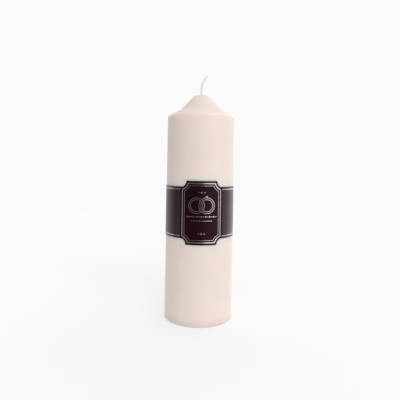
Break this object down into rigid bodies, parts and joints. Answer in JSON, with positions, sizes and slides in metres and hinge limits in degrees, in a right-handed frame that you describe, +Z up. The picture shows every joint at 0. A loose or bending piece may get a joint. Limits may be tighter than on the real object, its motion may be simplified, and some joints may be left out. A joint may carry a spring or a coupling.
{
  "type": "unity candle",
  "caption": "Tall moulded wax pillar candle with a bell-shaped top, a bent cotton wick and a dark paper wrap with a notched front plaque.",
  "frame": {"origin": "on the pillar's axis, in the base plane that the candle stands on", "axes": "+Z up along the pillar; -Y is the front, which the plaque faces; +Y is the wrap's seam; the wick's tip bends towards +X"},
  "size_m": [0.077, 0.0771, 0.2707],
  "materials": {
    "ivory_wax": "smooth satin wax, slightly translucent",
    "cotton": "braided cotton, lightly waxed",
    "tinned_steel": "bright tinned sheet",
    "band_paper": "dark brown coated paper, satin",
    "clear_tape": "clear double-sided tape",
    "plaque_card": "near-black brown card, satin varnish",
    "silver_foil": "hot-stamped silver foil"
  },
  "bodies": {
    "candle": {"wax_pillar": "ivory_wax", "wick": "cotton", "wick_sustainer": "tinned_steel"},
    "label_sleeve": {"label_band": "band_paper", "band_seam_tape": "clear_tape", "plaque_adhesive": "clear_tape", "label_plaque": "plaque_card"}
  },
  "joints": [
    {"name": "sleeve_slide", "type": "slide", "parent": "candle", "child": "label_sleeve", "axis": [0, 0, 1], "range_m": [0, 0.19]}
  ]
}
